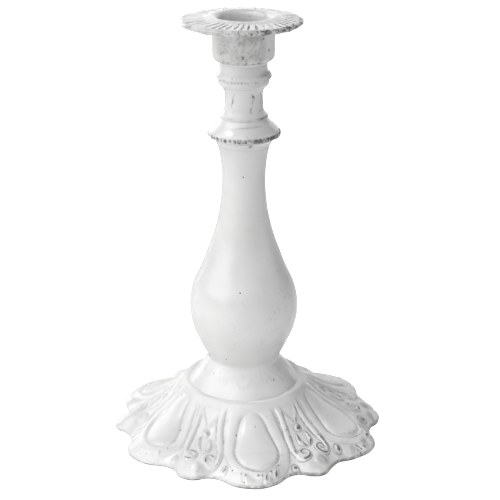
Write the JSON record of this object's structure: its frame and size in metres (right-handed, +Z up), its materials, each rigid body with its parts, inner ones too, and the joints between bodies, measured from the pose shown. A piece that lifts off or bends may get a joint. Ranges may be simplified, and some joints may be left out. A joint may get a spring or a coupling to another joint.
{
  "type": "candlestick",
  "caption": "Baluster candlestick of glazed earthenware on a lobed, scroll-moulded foot, with a blind round candle socket and a fluted drip pan.",
  "frame": {"origin": "on the table, on the stem's axis", "axes": "+Z up the stem, towards the candle; -Y through the middle of a big rim lobe; +X through the middle of a small rim lobe"},
  "size_m": [0.146, 0.15, 0.2229],
  "materials": {
    "white_glaze": "glossy milky white glaze over a dark clay body, thin at the edges",
    "sprig_glaze": "glossy milky white glaze, worn thin on the raised edges so that the dark clay shows",
    "slip": "fired slip, mostly under the glaze"
  },
  "bodies": {
    "root": {"base_skirt": "white_glaze", "ridge_moulding": "white_glaze", "base_dome": "white_glaze", "baluster_stem": "white_glaze", "stem_collar": "white_glaze", "neck_spool": "white_glaze", "knop_ring": "white_glaze", "candle_cup": "white_glaze", "drip_pan": "white_glaze", "oval_bosses": "sprig_glaze", "oval_frames": "sprig_glaze", "scroll_straps": "sprig_glaze", "husk_leaves": "sprig_glaze", "husk_beads": "sprig_glaze", "rim_pearls": "sprig_glaze", "rim_knobs": "sprig_glaze", "dome_leaves": "sprig_glaze", "collar_pearls": "sprig_glaze", "luting_slip": "slip"}
  },
  "joints": []
}
